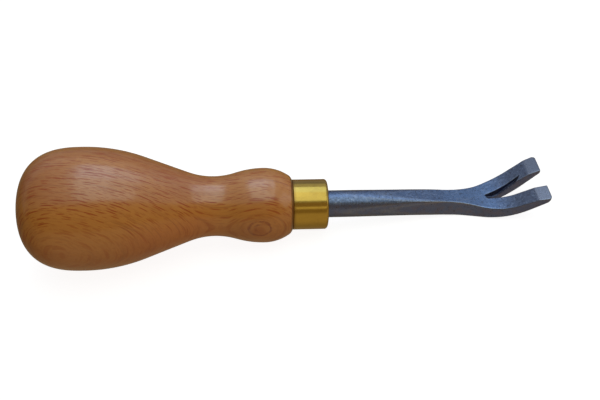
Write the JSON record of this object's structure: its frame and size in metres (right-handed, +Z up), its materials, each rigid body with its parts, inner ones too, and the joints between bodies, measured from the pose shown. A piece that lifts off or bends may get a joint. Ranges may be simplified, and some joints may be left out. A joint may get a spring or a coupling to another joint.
{
  "type": "tack lifter",
  "caption": "Upholsterer's tack lifter: pear-shaped turned beech handle, brass ferrule and a forged steel shank that flattens into an upturned claw with a V slot.",
  "frame": {"origin": "on the surface the tool lies on, under the middle of its bounding box, with the claw turned up", "axes": "+X from the butt of the handle towards the claw, +Z up; the tool's own axis dips 7.87 degrees below +X"},
  "size_m": [0.1914, 0.0448, 0.0456],
  "materials": {
    "beech": "turned steamed beech under clear lacquer, semi-gloss",
    "brass": "drawn brass, bright with fine turning lines",
    "steel": "forged and blued tool steel, satin, finely pitted"
  },
  "bodies": {
    "root": {"handle": "beech", "ferrule": "brass", "blade": "steel"}
  },
  "joints": []
}
